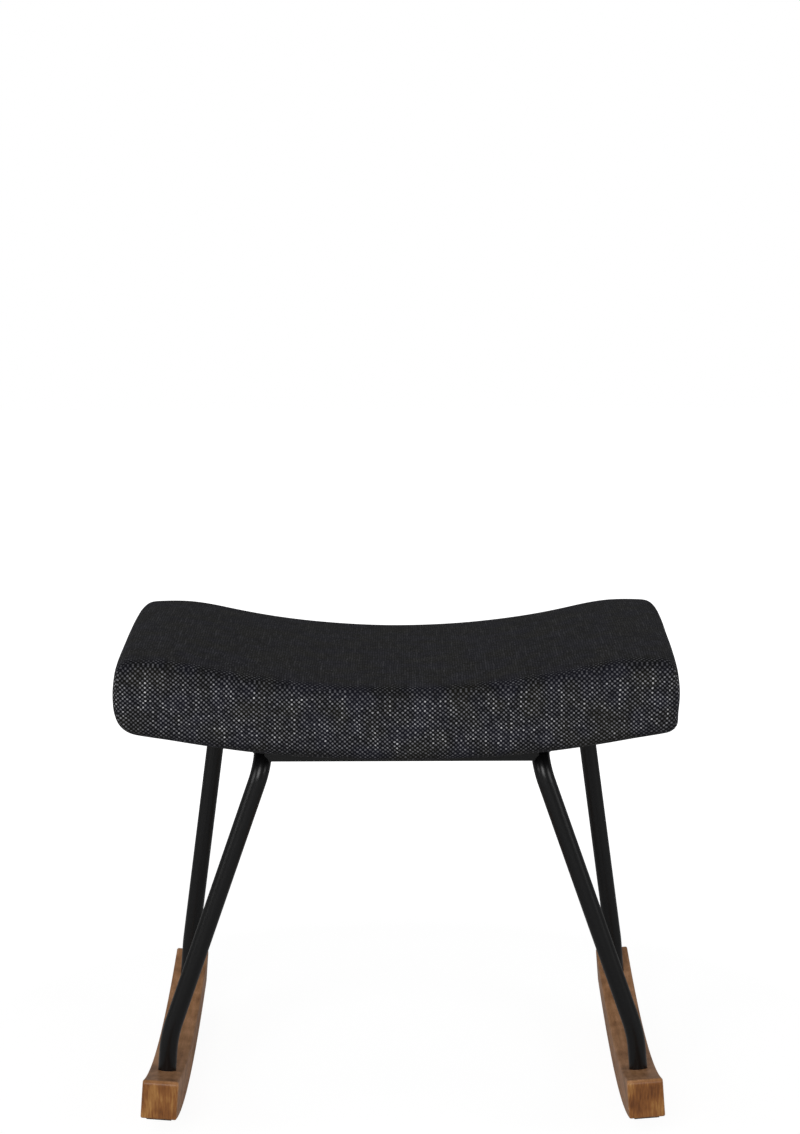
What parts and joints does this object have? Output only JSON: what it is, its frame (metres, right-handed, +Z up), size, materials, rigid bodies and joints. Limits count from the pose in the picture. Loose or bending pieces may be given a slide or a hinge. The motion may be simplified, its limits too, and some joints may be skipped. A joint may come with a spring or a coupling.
{
  "type": "rocking footstool",
  "caption": "Rocking footstool with an upholstered saddle seat on bent steel side frames and curved hardwood rockers.",
  "frame": {"origin": "on the floor under the middle of the stool, half way between the rockers and half way along them", "axes": "+Z up, +X across the seat to the right of a person facing its back, the front faces -Y"},
  "size_m": [0.5554, 0.41, 0.4835],
  "materials": {
    "oiled_hardwood": "oiled solid hardwood, species not known",
    "felt_strip": "pressed felt",
    "black_powder_coat": "satin powder coat",
    "zinc_plated_steel": "zinc plated",
    "plywood": "bent plywood, unfinished",
    "seat_foam": "polyurethane foam",
    "polyester_wadding": "polyester wadding",
    "charcoal_weave": "basket weave of black and light grey yarn",
    "black_nonwoven": "spun-bonded cloth",
    "staple_wire": "galvanised wire"
  },
  "bodies": {
    "root": {"rocker_left": "oiled_hardwood", "rocker_right": "oiled_hardwood", "glide_strip_left": "felt_strip", "glide_strip_right": "felt_strip", "side_frame_left": "black_powder_coat", "side_frame_right": "black_powder_coat", "cross_rail_front": "black_powder_coat", "cross_rail_rear": "black_powder_coat", "leg_plugs": "zinc_plated_steel", "rocker_washers": "zinc_plated_steel", "rocker_screws": "zinc_plated_steel", "seat_washers": "zinc_plated_steel", "seat_spring_washers": "zinc_plated_steel", "seat_screws": "zinc_plated_steel", "tee_nuts": "zinc_plated_steel", "seat_base": "plywood", "seat_foam": "seat_foam", "seat_wadding": "polyester_wadding", "seat_cover": "charcoal_weave", "dust_cover": "black_nonwoven", "cover_staples": "staple_wire", "dust_cover_staples": "staple_wire"}
  },
  "joints": []
}
